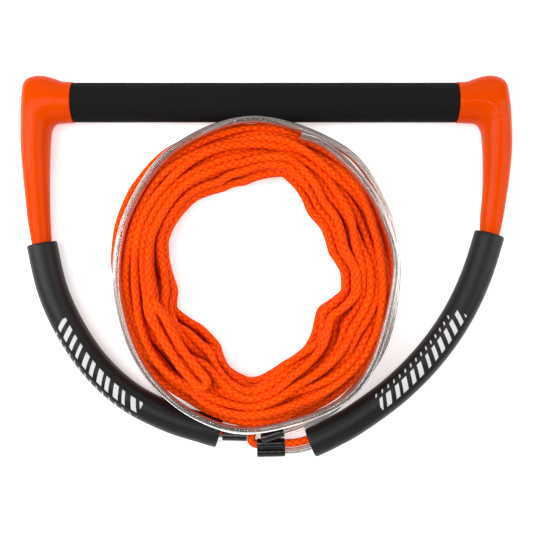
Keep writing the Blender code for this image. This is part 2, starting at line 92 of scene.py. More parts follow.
# Middle of each side's bridle, from the knot's seat down the leg, the float and the sleeve.
LEG_ROUTE = [
    (0.1780, 0.1150, 0.0160),
    (0.1789, 0.0900, 0.0155),
    (0.1785, 0.0650, 0.0144),
    (0.1774, 0.0420, 0.0132),
]
FLOAT_ROUTE = {
    "left": [
        (-0.1750, 0.0182, 0.0122),
        (-0.1663, -0.0190, 0.0122),
        (-0.1515, -0.0509, 0.0122),
        (-0.1317, -0.0790, 0.0122),
        (-0.1063, -0.1016, 0.0122),
        (-0.0758, -0.1172, 0.0122),
        (-0.0500, -0.1256, 0.0122),
        (-0.0365, -0.1296, 0.0121),
    ],
    "right": [
        (0.1738, 0.0257, 0.0122),
        (0.1621, -0.0107, 0.0122),
        (0.1460, -0.0430, 0.0122),
        (0.1247, -0.0720, 0.0122),
        (0.0990, -0.0973, 0.0122),
        (0.0696, -0.1188, 0.0122),
        (0.0500, -0.1299, 0.0122),
        (0.0340, -0.1375, 0.0121),
    ],
}
SLEEVE_ROUTE = {
    "left": [(-0.0346, -0.1298, 0.0118), (-0.0250, -0.1302, 0.0116), (-0.0152, -0.1305, 0.0114)],
    "right": [(0.0240, -0.1404, 0.0112), (0.0145, -0.1413, 0.0100), (-0.0074, -0.1419, 0.0096)],
}
SPLICE_LIMBS = {
    "right": [(-0.0116, -0.1366, 0.0098), (-0.0116, -0.1320, 0.0103), (-0.0100, -0.1270, 0.0108)],
    "left": [(-0.0117, -0.1272, 0.0125), (-0.0098, -0.1254, 0.0112)],
}

THROAT_ROUTE = [(-0.0102, -0.1304, 0.0106), (-0.0098, -0.1262, 0.0108), (-0.0098, -0.1214, 0.0108)]

# Coil of the mainline
COIL_X = -0.0086
COIL_Y = -0.0058
COIL_RADIUS_X = 0.0873
COIL_RADIUS_Y = 0.0973
MAINLINE_LENGTH = 18.3

# Route of the clear tube round the coil: angle in degrees, outward from the coil's mean line, height.
RING_ROUTE = [
    (70.0, 0.0138, 0.0352),
    (59.0, 0.0157, 0.0350),
    (40.0, 0.0160, 0.0345),
    (22.0, 0.0172, 0.0335),
    (0.0, 0.0192, 0.0320),
    (-34.0, 0.0212, 0.0300),
    (-57.0, 0.0226, 0.0288),
    (-90.0, 0.0214, 0.0280),
    (-112.0, 0.0216, 0.0280),
    (-134.0, 0.0206, 0.0282),
    (-155.0, 0.0188, 0.0295),
    (-180.0, 0.0178, 0.0310),
    (-205.0, 0.0178, 0.0310),
    (-235.0, 0.0192, 0.0295),
    (-270.0, 0.0206, 0.0282),
    (-308.0, 0.0228, 0.0268),
    (-334.0, 0.0222, 0.0255),
    (-356.0, 0.0214, 0.0252),
    (-380.0, 0.0220, 0.0246),
    (-397.0, 0.0232, 0.0236),
    (-417.0, 0.0248, 0.0222),
    (-431.0, 0.0252, 0.0206),
    (-439.0, 0.0264, 0.0188),
]
RING_SLEEVE_END = (-0.0040, -0.1328, 0.0183)

# Middle line of the boat-end loop, which lies doubled on the coil.
LOOP_ROUTE = [
    (-0.0870, -0.0250, 0.0366),
    (-0.0790, -0.0430, 0.0367),
    (-0.0690, -0.0610, 0.0372),
    (-0.0580, -0.0760, 0.0386),
    (-0.0490, -0.0865, 0.0382),
]
LOOP_HALF_WIDTH = 0.0042

# How the mainline leaves the splice and goes under the coil, before its first turn.
MAINLINE_LEAD = [
    (-0.0098, -0.1235, 0.0108),
    (-0.0098, -0.1180, 0.0100),
    (-0.0092, -0.1115, 0.0066),
    (-0.0052, -0.1052, 0.0042),
    (0.0022, -0.1018, 0.0034),
    (0.0110, -0.1020, 0.0034),
]
# Points of the laid coil that the lead replaces, points over which its end rises to the loop, and
# points held still at each end while it settles.
LAID_SKIPPED = 7
RISE_POINTS = 16
HELD_START = 3
HELD_END = 4
# Waves in how the coil's strands wander: how often per turn, how far across (as a share), how far up.
COIL_WAVES = (
    (0.37, 0.09, 0.0008),
    (0.83, 0.08, 0.0013),
    (1.9, 0.06, 0.0013),
    (3.3, 0.040, 0.0010),
    (6.3, 0.018, 0.0006),
)
MAINLINE_STEP = 0.0020
MAINLINE_SIDES = 10

GRIP_DARK = (0.0040, 0.0040, 0.0042, 1.0)
GRIP_LIGHT = (0.0080, 0.0080, 0.0084, 1.0)
FLOAT_DARK = (0.0055, 0.0055, 0.0058, 1.0)
FLOAT_LIGHT = (0.0105, 0.0105, 0.0110, 1.0)
PLUG_DARK = (0.02, 0.02, 0.02, 1.0)
PLUG_LIGHT = (0.05, 0.05, 0.05, 1.0)
# Rope colours from low to high yarn: painted shade in the crevices between yarns, the middle, and the lighter
# yarn tops.
ROPE_CREVICE_SHADE = (0.52, 0.010, 0.0)
ROPE_MIDDLE = (0.74, 0.039, 0.0)
ROPE_BRIGHT = (0.90, 0.084, 0.0)

HARD_EDGE = math.radians(50)
SLEEVE_EDGE = math.radians(60)
CAP_SIDES = 72
FLOAT_SIDES = 72
BAR_STEP = 0.0082
TICK_STEP = 0.0061
WORLD_LIGHT = 0.10
# Name, place, what it aims at, width, height, watts.
LIGHTS = [
    ("overhead left", (-0.78, 0.05, 1.15), (-0.1, 0.0, 0.0), 0.80, 1.50, 18.0),
    ("left softbox", (-1.25, 0.10, 0.80), (0.0, 0.0, 0.0), 0.40, 1.50, 10.0),
    ("right softbox", (1.30, 0.05, 0.80), (0.0, 0.0, 0.0), 0.90, 1.50, 17.0),
    ("far softbox", (0.0, 1.30, 0.70), (0.0, 0.0, 0.0), 1.80, 1.10, 7.0),
    ("near softbox", (0.0, -1.35, 0.70), (0.0, 0.0, 0.0), 1.80, 1.10, 7.0),
    ("strip", (0.30, 0.10, 1.25), (0.0, 0.0, 0.0), 0.022, 1.10, 2.0),
]


# ---------------------------------------------------------------- routes

def eased(share):
    """A share from 0 to 1 that starts and ends gently."""
    return share * share * (3 - 2 * share)


def angles_round(sides):
    """Angles of the points of a round row."""
    return np.arange(sides) * 2 * math.pi / sides


def shares_round(sides):
    """Texture coordinates round a row: 0 to 1, one more than its points."""
    return np.arange(sides + 1) / sides


def read_rows(wanted, stations, values):
    """Values given at stations, read at the wanted places."""
    return np.stack([np.interp(wanted, stations, values[:, k]) for k in range(3)], axis=1)


def smooth_route(points, steps=24):
    """Dense points of a Catmull-Rom curve through the given points."""
    known = np.array(points, dtype=float)
    ends = [2 * known[0] - known[1], 2 * known[-1] - known[-2]]
    known = np.vstack([ends[0], known, ends[1]])
    dense = []
    for a, b, c, d in zip(known, known[1:], known[2:], known[3:]):
        for t in np.arange(steps) / steps:
            square = (2 * a - 5 * b + 4 * c - d) * t**2
            cube = (3 * b - a - 3 * c + d) * t**3
            dense.append(0.5 * (2 * b + (c - a) * t + square + cube))
    dense.append(known[-2])
    return np.array(dense)


def lengths_along(points):
    """Distance from the start to each point."""
    steps = np.linalg.norm(np.diff(points, axis=0), axis=1)
    return np.concatenate([[0.0], np.cumsum(steps)])


def at_lengths(points, wanted):
    """Points of a route at the wanted distances from its start."""
    return read_rows(wanted, lengths_along(points), points)


def resample(points, spacing):
    """The same route with evenly spaced points."""
    total = lengths_along(points)[-1]
    return at_lengths(points, np.linspace(0.0, total, max(2, round(total / spacing) + 1)))


def unit(vectors):
    """The same vectors at length 1."""
    return vectors / np.linalg.norm(vectors, axis=-1, keepdims=True)


def level_frame(points):
    """Tangent, level side and upward vector at each point of a route that lies nearly level."""
    tangent = unit(np.gradient(points, axis=0))
    side = unit(np.cross(tangent, [0.0, 0.0, 1.0]))
    return tangent, side, np.cross(side, tangent)


def carried_frame(points):
    """Side and upward vectors carried along a route without twist."""
    tangent = unit(np.gradient(points, axis=0))
    side = np.empty_like(points)
    current = unit(np.cross(tangent[0], [0.0, 0.0, 1.0]))
    for k, along in enumerate(tangent):
        current = current - along * current.dot(along)
        current /= math.sqrt(current.dot(current))
        side[k] = current
    return side, np.cross(side, tangent)


# ---------------------------------------------------------------- meshes

def grid_mesh(name, grid, u, v, ring=False):
    """A tube through rows of points that close round.

    u and v are its texture coordinates, one more of each than it has points and rows.
    """
    rows, columns = grid.shape[:2]
    low = np.arange(rows if ring else rows - 1)
    high = (low + 1) % rows
    left = np.arange(columns)
    right = (left + 1) % columns
    quads = np.stack(
        [
            low[:, None] * columns + left,
            low[:, None] * columns + right,
            high[:, None] * columns + right,
            high[:, None] * columns + left,
        ],
        axis=2,
    ).reshape(-1, 4)
    faces = quads.tolist()
    if not ring:
        faces.append(list(range(columns))[::-1])
        faces.append(list(range((rows - 1) * columns, rows * columns)))
    mesh = bpy.data.meshes.new(name)
    mesh.from_pydata(grid.reshape(-1, 3).tolist(), [], faces)
    coordinates = np.zeros((len(mesh.loops), 2), dtype=np.float32)
    u_corner = np.stack([u[:-1], u[1:], u[1:], u[:-1]], axis=1)
    v_corner = np.stack([v[:-1], v[:-1], v[1:], v[1:]], axis=1)
    count = len(low) * columns * 4
    coordinates[:count, 0] = np.broadcast_to(u_corner[None], (len(low), columns, 4)).reshape(-1)
    coordinates[:count, 1] = np.broadcast_to(v_corner[:len(low), None], (len(low), columns, 4)).reshape(-1)
    layer = mesh.uv_layers.new(name="UVMap")
    layer.data.foreach_set("uv", coordinates.reshape(-1))
    mesh.shade_smooth()
    mesh.update()
    return mesh


def tube_grid(points, side, up, half_side, half_up, sides):
    """Rows of points round a route. The half widths are single values or one for each point of the route."""
    angles = angles_round(sides)
    wide = np.broadcast_to(half_side, len(points))[:, None, None]
    tall = np.broadcast_to(half_up, len(points))[:, None, None]
    return (
        points[:, None]
        + side[:, None] * wide * np.cos(angles)[None, :, None]
        + up[:, None] * tall * np.sin(angles)[None, :, None]
    )


def add_piece(name, mesh, material, body, node):
    """A shown piece that rides on a body and stands for a CAD node."""
    piece = bpy.data.objects.new(name, mesh)
    bpy.context.scene.collection.objects.link(piece)
    mesh.materials.append(material)
    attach(piece, body)
    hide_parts(node)
    return piece


def rope_mesh(name, points, radius, sides=12):
    """A rope's outside, with texture coordinates round it and in metres along it."""
    side, up = carried_frame(points)
    along = lengths_along(points)
    wide = radius * (0.985 + 0.03 * np.sin(along * 210.0) + 0.025 * np.sin(along * 87.0))
    tall = radius * (0.985 - 0.03 * np.sin(along * 210.0) + 0.025 * np.sin(along * 131.0))
    grid = tube_grid(points, side, up, wide, tall, sides)
    return grid_mesh(name, grid, shares_round(sides), along)


# ---------------------------------------------------------------- coil

SECTION_Z = [0.0032, 0.0060, 0.0100, 0.0160, 0.0210, 0.0250, 0.0280, 0.0310, 0.0345]
SECTION_OUTER = [0.0080, 0.0110, 0.0126, 0.0154, 0.0150, 0.0134, 0.0114, 0.0084, 0.0040]
SECTION_INNER = [0.0090, 0.0050, 0.0032, 0.0032, 0.0032, 0.0034, 0.0044, 0.0070, 0.0120]
COIL_INNER = -0.0195
# How much further out the strands reach under the clear tube, and beside it, at angles round the coil.
LOW_BULGE_ANGLES = [0.0, 108.0, 128.0, 148.0, 164.0, 180.0, 200.0, 360.0]
LOW_BULGES = [0.0, 0.0030, 0.0080, 0.0100, 0.0084, 0.0056, 0.0, 0.0]
HIGH_BULGE_ANGLES = [0.0, 20.0, 90.0, 150.0, 205.0, 226.0, 250.0, 275.0, 303.0, 326.0, 345.0, 360.0]
HIGH_BULGES = [0.0040, 0.0016, 0.0010, 0.0, 0.0040, 0.0082, 0.0078, 0.0060, 0.0074, 0.0082, 0.0060, 0.0040]

# How far the coil's strands pull in across its hole: angle in degrees, distance inward.
HOLE_BULGES = [
    (2.0, 0.002),
    (14.0, 0.010),
    (30.0, 0.009),
    (43.0, 0.012),
    (60.0, 0.004),
    (72.0, -0.002),
    (86.0, 0.004),
    (98.0, 0.009),
    (114.0, 0.008),
    (132.0, 0.001),
    (150.0, -0.002),
    (162.0, -0.003),
    (180.0, 0.004),
    (190.0, 0.007),
    (200.0, 0.003),
    (219.0, 0.015),
    (238.0, 0.019),
    (256.0, 0.002),
    (266.0, -0.003),
    (274.0, -0.001),
    (292.0, 0.010),
    (318.0, 0.012),
    (334.0, 0.017),
    (350.0, 0.001),
]

# Lanes of the coil, lowest first: height, how many strands lie side by side.
COIL_ROWS = [(0.0034, 4), (0.0086, 5), (0.0138, 5), (0.0190, 6), (0.0242, 5), (0.0294, 4), (0.0340, 3)]
# Angles in degrees at which the winding starts and ends, and the spacing of its points.
COIL_START = 269.4
COIL_END = 194.0
COIL_SPACING = 0.0040
LANE_CHANGE = 0.34
# Distance between middles: strand to strand, strand to clear tube, and how far the tube is looked for.
CONTACT = 0.0060
TUBE_CONTACT = 0.0063
TUBE_REACH = 0.0085
COIL_TOP = 0.0355
SETTLE_ROUNDS = 240
SETTLE_SINK = 0.00003


def hole_bulge(degrees):
    """How far the coil reaches into its hole at an angle."""
    known = np.array(HOLE_BULGES)
    angles = np.concatenate([known[-3:, 0] - 360, known[:, 0], known[:3, 0] + 360])
    depths = np.concatenate([known[-3:, 1], known[:, 1], known[:3, 1]])
    fine = np.linspace(angles[0], angles[-1], 1200)
    rough = np.interp(fine, angles, depths)
    window = np.hanning(23)
    soft = np.convolve(rough, window / window.sum(), mode="same")
    return np.interp(np.mod(degrees, 360.0), fine, soft)


def section_limits(degrees, z):
    """Innermost and outermost place of a strand's middle at an angle and a height."""
    turned = np.mod(degrees, 360.0)
    spread = np.interp(z, [0.019, 0.025], [1.0, 0.0])
    low = np.interp(turned, LOW_BULGE_ANGLES, LOW_BULGES)
    high = np.interp(turned, HIGH_BULGE_ANGLES, HIGH_BULGES)
    outer = np.interp(z, SECTION_Z, SECTION_OUTER) + np.maximum(low * spread, high)
    inner = COIL_INNER - hole_bulge(degrees) + np.interp(z, SECTION_Z, SECTION_INNER)
    return inner, outer


def coil_places(points):
    """Angle in degrees, outward place and outward direction of points near the coil."""
    x = points[:, 0] - COIL_X
    y = points[:, 1] - COIL_Y
    reach = np.hypot(x / COIL_RADIUS_X, y / COIL_RADIUS_Y) - 1.0
    outward = reach * (COIL_RADIUS_X + COIL_RADIUS_Y) / 2
    for _ in range(2):
        angle = np.arctan2(y / (COIL_RADIUS_Y + outward), x / (COIL_RADIUS_X + outward))
        mean = np.hypot(COIL_RADIUS_X * np.cos(angle), COIL_RADIUS_Y * np.sin(angle))
        outward = np.hypot(x, y) - mean
    direction = np.stack([np.cos(angle), np.sin(angle), np.zeros(len(angle))], axis=1)
    return np.degrees(angle), outward, direction


def on_coil(degrees, outward, z):
    """Points at angles, outward places and heights."""
    angle = np.radians(degrees)
    x = COIL_X + (COIL_RADIUS_X + outward) * np.cos(angle)
    y = COIL_Y + (COIL_RADIUS_Y + outward) * np.sin(angle)
    return np.stack([x, y, z], axis=-1)


def coil_layout(chance):
    """The wound rope before it settles: turn after turn through the lanes, each wandering a little."""
    lanes = []
    for row, (z, count) in enumerate(COIL_ROWS):
        across = (np.arange(count) + 0.5) / count
        lanes += [(a, z) for a in (across[::-1] if row % 2 == 0 else across)]
    lanes = np.array(lanes)
    turns = (COIL_END + 360.0 * len(lanes) - COIL_START) / 360.0
    count = int(MAINLINE_LENGTH * 1.02 / COIL_SPACING)
    turn = np.linspace(0.0, turns, count)
    across = np.full(count, lanes[0, 0])
    z = np.full(count, lanes[0, 1])
    for k in range(1, len(lanes)):
        middle = k + chance.uniform(-0.30, 0.30)
        share = eased(np.clip((turn - middle) / LANE_CHANGE + 0.5, 0.0, 1.0))
        across += share * (lanes[k, 0] - lanes[k - 1, 0])
        z += share * (lanes[k, 1] - lanes[k - 1, 1])
    for waves, sway, lift in COIL_WAVES:
        for _ in range(2):
            phase = chance.uniform(0, 2 * math.pi, 2)
            rate = waves * chance.uniform(0.85, 1.15, 2)
            across += sway * np.sin(2 * math.pi * rate[0] * turn + phase[0])
            z += lift * np.sin(2 * math.pi * rate[1] * turn + phase[1])
    degrees = COIL_START + 360.0 * turn
    across = np.clip(across, 0.0, 1.0)
    z = np.clip(z, SECTION_Z[0], SECTION_Z[-1])
    inner, outer = section_limits(degrees, z)
    return on_coil(degrees, inner + across * (outer - inner), z)


def close_pairs(points, others, reach, skip):
    """Index pairs of points and others that lie within reach. Neighbours along one rope are skipped."""
    first, second = [], []
    block = 512
    wide = others.astype(np.float32)
    for start in range(0, len(points), block):
        part = points[start:start + block].astype(np.float32)
        square = ((part[:, None] - wide[None]) ** 2).sum(axis=2)
        i, j = np.nonzero(square < reach * reach)
        i = i + start
        keep = (j - i > skip) if skip else np.ones(len(i), dtype=bool)
        first.append(i[keep])
        second.append(j[keep])
    return np.concatenate(first), np.concatenate(second)


def settle_coil(points, ring, held_start, held_end):
    """Moves the laid rope until its strands lie together, in the coil's outline and off the clear tube."""
    home = points.copy()
    rest = np.linalg.norm(np.diff(points, axis=0), axis=1)
    loose = np.ones(len(points))
    loose[:held_start] = 0.0
    loose[len(points) - held_end:] = 0.0
    loose = loose[:, None]
    for step in range(SETTLE_ROUNDS):
        if step % 8 == 0:
            i, j = close_pairs(points, points, CONTACT * 1.35, 4)
            ri, rj = close_pairs(points, ring, TUBE_REACH, 0)
        move = np.zeros_like(points)
        hits = np.zeros(len(points))
        gap = points[j] - points[i]
        apart = np.linalg.norm(gap, axis=1) + 1e-9
        deep = np.maximum(CONTACT - apart, 0.0)
        push = gap * (0.5 * deep / apart)[:, None]
        for axis in range(3):
            forward = np.bincount(j, push[:, axis], len(points))
            move[:, axis] += forward - np.bincount(i, push[:, axis], len(points))
        touching = deep > 0
        first_hits = np.bincount(i[touching], minlength=len(points))
        hits += first_hits + np.bincount(j[touching], minlength=len(points))
        away = points[ri] - ring[rj]
        apart = np.linalg.norm(away, axis=1) + 1e-9
        deep = np.maximum(TUBE_CONTACT - apart, 0.0)
        push = away * (deep / apart)[:, None]
        for axis in range(3):
            move[:, axis] += np.bincount(ri, push[:, axis], len(points))
        hits += np.bincount(ri[deep > 0], minlength=len(points))
        points = points + loose * move / np.maximum(hits, 1.0)[:, None] ** 0.75
        points[:, 2] -= loose[:, 0] * SETTLE_SINK
        drift = points - home
        calm = drift.copy()
        calm[1:-1] = 0.5 * drift[1:-1] + 0.25 * (drift[:-2] + drift[2:])
        points = np.where(loose > 0, home + calm, points)
        degrees, outward, direction = coil_places(points)
        inner, outer = section_limits(degrees, points[:, 2])
        fixed = np.clip(outward, inner, outer)
        points += loose * direction * (0.5 * (fixed - outward))[:, None]
        points[:, 2] = np.maximum(points[:, 2], ROPE_R)
        high = np.maximum(points[:, 2] - COIL_TOP, 0.0)
        points[:, 2] -= loose[:, 0] * high * 0.4
        for parity in (0, 1):
            a = np.arange(parity, len(points) - 1, 2)
            along = points[a + 1] - points[a]
            length = np.linalg.norm(along, axis=1)
            weight = loose[a, 0] + loose[a + 1, 0]
            change = along * ((length - rest[a]) / (length * np.maximum(weight, 1.0)))[:, None]
            points[a] += change * loose[a]
            points[a + 1] -= change * loose[a + 1]
    return points


def mainline_route(ring):
    """Middle line of the whole mainline: out of the splice, round the coil, and up to the boat-end loop."""
    chance = np.random.default_rng(7)
    laid = coil_layout(chance)
    lead = resample(smooth_route(MAINLINE_LEAD), COIL_SPACING)
    joined = np.vstack([lead, laid[LAID_SKIPPED:]])
    rise = np.clip((np.arange(len(joined)) - len(joined) + 1) / RISE_POINTS + 1.0, 0.0, 1.0)
    rise = eased(rise)[:, None]
    joined = joined + rise * (np.array(LOOP_ROUTE[0]) - joined[-1])
    settled = settle_coil(joined, ring, HELD_START, HELD_END)
    return resample(smooth_route(settled, 3), MAINLINE_STEP)


def bow(side_name, y):
    """How far a leg is bowed inward at a height along it."""
    return LEG_BOW[side_name] * ((y - BOW_Y) / BOW_REACH) ** 2


def bridle_route(side_name):
    """The whole middle line of one side, from the knot's seat to the sleeve's far end."""
    sign = SIDES[side_name]
    leg = [(sign * (u - bow(side_name, y)), y, z) for u, y, z in LEG_ROUTE]
    return smooth_route(leg + FLOAT_ROUTE[side_name] + SLEEVE_ROUTE[side_name])


def length_to(route, point):
    """Distance along a route to its point nearest the given one."""
    nearest = np.argmin(np.linalg.norm(route - np.array(point), axis=1))
    return lengths_along(route)[nearest]


def rope_direction(side_name, side, up):
    """Direction from the middle of a rope and tube pair towards its rope."""
    inward = -side if side_name == "left" else side
    turn = math.radians(PAIR_TURN[side_name])
    return inward * math.cos(turn) + up * math.sin(turn)


def pair_offset(side_name, route, wanted, share):
    """Points beside the route, towards the rope's place for a share of 1 and the clear tube's for -1."""
    points = at_lengths(route, wanted)
    _, side, up = level_frame(points)
    return points + rope_direction(side_name, side, up) * (np.asarray(share)[:, None] * PAIR_SPACING / 2)


# ---------------------------------------------------------------- materials

class Paint:
    """A Principled material and the nodes that feed it."""

    def __init__(self, name):
        self.material = bpy.data.materials.new(name)
        self.material.use_nodes = True
        self.tree = self.material.node_tree
        self.shader = self.tree.nodes["Principled BSDF"]

    def join(self, value, socket):
        """Feed a socket with another socket or with a fixed value."""
        if isinstance(value, bpy.types.NodeSocket):
            self.tree.links.new(value, socket)
        else:
            socket.default_value = value

    def add(self, kind, inputs, **settings):
        """A node with its inputs and settings."""
        node = self.tree.nodes.new("ShaderNode" + kind)
        for key, value in settings.items():
            setattr(node, key, value)
        for key, value in inputs.items():
            self.join(value, node.inputs[key])
        return node

    def calc(self, operation, *values):
        """The result of one Math node."""
        return self.add("Math", dict(enumerate(values)), operation=operation).outputs[0]

    def mix(self, share, low, high):
        """A number between low and high."""
        return self.add("Mix", {0: share, 2: low, 3: high}).outputs[0]

    def blend(self, share, low, high):
        """A colour between two colours."""
        return self.add("Mix", {0: share, 6: low, 7: high}, data_type="RGBA").outputs[2]

    def along(self):
        """Texture coordinates: round the piece from 0 to 1, and metres along it."""
        place = self.add("UVMap", {}, uv_map="UVMap").outputs[0]
        parts = self.add("SeparateXYZ", {0: place})
        return parts.outputs[0], parts.outputs[1]

    def vector(self, x, y, z=0.0):
        """A vector from three numbers."""
        return self.add("CombineXYZ", {0: x, 1: y, 2: z}).outputs[0]

    def place(self):
        """Metres in the part's own frame."""
        return self.add("TexCoord", {}).outputs["Object"]

    def scaled(self, x, y, by_x, by_y):
        """A vector from two numbers, each multiplied."""
        return self.vector(self.calc("MULTIPLY", x, by_x), self.calc("MULTIPLY", y, by_y))

    def noise(self, where, scale, detail=2.0):
        """Soft noise from 0 to 1."""
        return self.add("TexNoise", {"Vector": where, "Scale": scale, "Detail": detail}).outputs[0]

    def cells(self, where, scale):
        """Distance to the nearest of many scattered points."""
        return self.add("TexVoronoi", {"Vector": where, "Scale": scale}).outputs["Distance"]

    def ramp(self, share, stops):
        """A colour read off stops of (place, colour)."""
        node = self.add("ValToRGB", {0: share})
        elements = node.color_ramp.elements
        while len(elements) < len(stops):
            elements.new(0.5)
        for element, (at, colour) in zip(elements, stops):
            element.position = at
            element.color = (*colour, 1.0)
        return node.outputs[0]

    def bump(self, height, distance, strength=1.0, under=None):
        """A normal from a height."""
        inputs = {"Height": height, "Distance": distance, "Strength": strength}
        if under:
            inputs["Normal"] = under
        return self.add("Bump", inputs).outputs[0]

    def finish(self, **sockets):
        """Set the shader's sockets, named with underscores for spaces, and return the material."""
        for key, value in sockets.items():
            self.join(value, self.shader.inputs[key.replace("_", " ")])
        return self.material


def braid_material(name, picks_round, pick_length):
    """A braided rope: two sets of flat yarns over and under each other, coloured with painted shade in the
    crevices between yarns and lighter yarn tops.
    """
    paint = Paint(name)
    around, along = paint.along()
    turned = paint.calc("MULTIPLY", around, picks_round)
    run = paint.calc("MULTIPLY", along, 1.0 / pick_length)
    wobble = paint.noise(paint.vector(turned, run), 0.35, 1.0)
    run = paint.calc("ADD", run, wobble)
    sway = paint.noise(paint.vector(run, turned, 5.0), 0.30, 1.0)
    turned = paint.calc("ADD", turned, sway)
    one = paint.calc("ADD", turned, run)
    other = paint.calc("SUBTRACT", turned, run)
    across_one = paint.calc("FRACT", one)
    across_other = paint.calc("FRACT", other)
    order = paint.calc("ADD", paint.calc("FLOOR", one), paint.calc("FLOOR", other))
    over = paint.calc("FLOORED_MODULO", order, 2.0)

    def hump(share):
        back = paint.calc("SUBTRACT", 1.0, share)
        return paint.calc("MULTIPLY", paint.calc("MULTIPLY", share, back), 4.0)

    hump_one, hump_other = hump(across_one), hump(across_other)
    rise_one = paint.calc("MULTIPLY", paint.calc("SQRT", hump_one), paint.mix(hump_other, 0.45, 1.0))
    rise_other = paint.calc("MULTIPLY", paint.calc("SQRT", hump_other), paint.mix(hump_one, 0.45, 1.0))
    height = paint.mix(over, rise_other, rise_one)
    fibre_one = paint.noise(paint.vector(paint.calc("MULTIPLY", one, 7.0), other), 1.0, 2.0)
    fibre_other = paint.noise(paint.vector(one, paint.calc("MULTIPLY", other, 7.0)), 1.0, 2.0)
    fibre = paint.mix(over, fibre_other, fibre_one)
    flat = paint.noise(paint.vector(turned, run, 9.0), 0.8, 2.0)
    height = paint.mix(flat, height, paint.calc("POWER", height, 0.35))
    relief = paint.calc("ADD", height, paint.calc("MULTIPLY", fibre, 0.35))
    tone = paint.noise(paint.vector(turned, run), 0.12, 2.0)
    # Colour follows the yarn height, painting shade into the crevices and light onto the yarn tops, with
    # random tone and fibre mixed in.
    shade_and_tone = paint.calc("ADD", height, paint.calc("MULTIPLY", paint.calc("SUBTRACT", tone, 0.5), 0.5))
    shade_and_tone = paint.calc("ADD", shade_and_tone, paint.calc("MULTIPLY", paint.calc("SUBTRACT", fibre, 0.5), 0.35))
    colour = paint.ramp(shade_and_tone, [(0.12, ROPE_CREVICE_SHADE), (0.50, ROPE_MIDDLE), (1.0, ROPE_BRIGHT)])
    normal = paint.bump(relief, 0.0008, 1.0)
    rough = paint.mix(fibre, 0.55, 0.72)
    return paint.finish(Base_Color=colour, Roughness=rough, Normal=normal, Specular_IOR_Level=0.06)


def cap_material():
    """Glossy moulded plastic with faint flow marks."""
    paint = Paint("moulded cap")
    where = paint.place()
    flow = paint.noise(where, 18.0, 3.0)
    fine = paint.noise(where, 420.0, 2.0)
    colour = paint.ramp(flow, [(0.25, (0.55, 0.042, 0.0)), (0.75, (0.61, 0.049, 0.0))])
    rough = paint.mix(fine, 0.09, 0.15)
    skin = paint.bump(paint.noise(where, 60.0, 2.0), 0.00012, 0.4)
    normal = paint.bump(fine, 0.00002, 0.6, skin)
    return paint.finish(Base_Color=colour, Roughness=rough, Normal=normal, IOR=1.13)


def foam_material(name, dark, light, smooth, shine, print_mask=None):
    """Closed-cell foam with a fine pored skin, and print on it where a mask is given."""
    paint = Paint(name)
    where = paint.place()
    pores = paint.cells(where, 1500.0)
    grain = paint.noise(where, 900.0, 3.0)
    cloud = paint.noise(where, 22.0, 3.0)
    tone = paint.calc("ADD", paint.calc("MULTIPLY", grain, 0.5), paint.calc("MULTIPLY", cloud, 0.5))
    base = paint.blend(tone, dark, light)
    rough = paint.mix(cloud, smooth, smooth + 0.14)
    relief = paint.calc("ADD", paint.calc("MULTIPLY", pores, 0.7), grain)
    normal = paint.bump(relief, 0.00012, 0.55, paint.bump(cloud, 0.0008, 0.25))
    if print_mask:
        mask = print_mask(paint)
        worn = paint.mix(paint.noise(where, 1400.0, 3.0), 0.55, 1.25)
        mask = paint.calc("MULTIPLY", mask, paint.calc("MINIMUM", worn, 1.0))
        base = paint.blend(mask, base, (0.55, 0.55, 0.55, 1.0))
        rough = paint.mix(mask, rough, 0.45)
    return paint.finish(Base_Color=base, Roughness=rough, Normal=normal, IOR=shine)


def band(paint, value, low, high, soft):
    """1 between two limits and 0 outside, with soft edges."""
    rise = paint.add("MapRange", {0: value, 1: low - soft, 2: low + soft}).outputs[0]
    fall = paint.add("MapRange", {0: value, 1: high + soft, 2: high - soft}).outputs[0]
    return paint.calc("MULTIPLY", rise, fall)


def slanted_bars(start, length, low, high, ticks_low, ticks_high, slant):
    """A print of slanted bars between two places round a float, with a row of short ticks beside it."""

    def mask(paint):
        around, along = paint.along()
        sheared = paint.calc("ADD", along, paint.calc("MULTIPLY", around, slant))
        step = paint.calc("FRACT", paint.calc("MULTIPLY", sheared, 1.0 / BAR_STEP))
        row = paint.calc("FLOOR", paint.calc("MULTIPLY", sheared, 1.0 / BAR_STEP))
        width = paint.add("TexWhiteNoise", {"W": row}, noise_dimensions="1D").outputs[0]
        bar = paint.calc("LESS_THAN", step, paint.mix(width, 0.34, 0.62))
        long = band(paint, along, start, start + length, 0.0002)
        inside = paint.calc("MULTIPLY", long, band(paint, around, low, high, 0.003))
        bars = paint.calc("MULTIPLY", bar, inside)
        tick_step = paint.calc("FRACT", paint.calc("MULTIPLY", sheared, 1.0 / TICK_STEP))
        tick = paint.calc("LESS_THAN", tick_step, 0.24)
        long = band(paint, along, start + 0.006, start + length, 0.0002)
        beside = paint.calc("MULTIPLY", long, band(paint, around, ticks_low, ticks_high, 0.003))
        return paint.calc("MAXIMUM", bars, paint.calc("MULTIPLY", tick, beside))

    return mask


def clear_material():
    """Clear vinyl tube with faint lengthwise draw lines and a grey-beige cast."""
    paint = Paint("clear vinyl")
    around, along = paint.along()
    lines = paint.noise(paint.scaled(around, along, 4.0, 40.0), 1.0, 1.0)
    haze = paint.noise(paint.scaled(around, along, 5.0, 90.0), 1.0, 2.0)
    tint = paint.ramp(haze, [(0.2, (0.56, 0.515, 0.48)), (0.8, (0.66, 0.61, 0.57))])
    rough = paint.mix(haze, 0.10, 0.18)
    normal = paint.bump(lines, 0.00005, 0.10)
    return paint.finish(
        Base_Color=tint,
        Roughness=rough,
        Normal=normal,
        Transmission_Weight=0.93,
        IOR=1.40,
        Coat_Weight=0.5,
        Coat_Roughness=0.05,
    )


